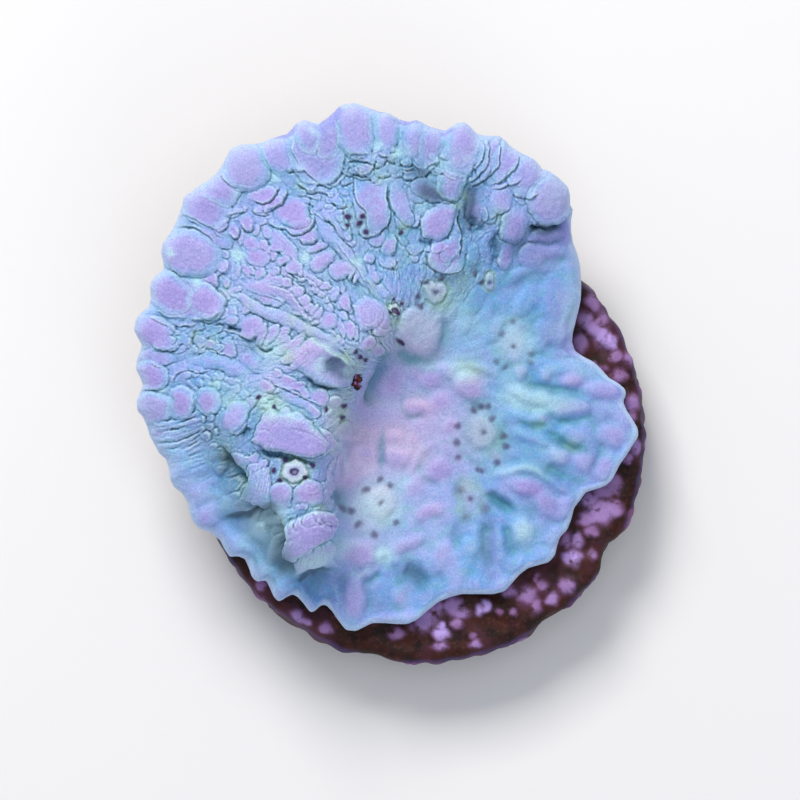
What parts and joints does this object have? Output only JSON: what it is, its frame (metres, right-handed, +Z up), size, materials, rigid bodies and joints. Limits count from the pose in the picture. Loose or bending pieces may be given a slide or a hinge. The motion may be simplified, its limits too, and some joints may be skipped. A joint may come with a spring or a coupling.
{
  "type": "chalice coral frag",
  "caption": "Leafy chalice coral with a thick lobed rim, a raised fan above a polyp-dotted bowl, grown over a round frag disc.",
  "frame": {"origin": "centre of the frag disc's flat underside", "axes": "+Z up, away from the surface that the disc rests on; +Y towards the part of the colony's rim that stands highest; +X to the right as seen from above"},
  "size_m": [0.0358, 0.0392, 0.0152],
  "materials": {
    "coral_tissue": "wet living tissue, lilac to pale blue and teal, over a limestone skeleton",
    "frag_disc_ceramic": "matt cast ceramic grown over with dark brown film and mauve coralline algae"
  },
  "bodies": {
    "root": {"coral_colony": "coral_tissue", "frag_disc": "frag_disc_ceramic"}
  },
  "joints": []
}
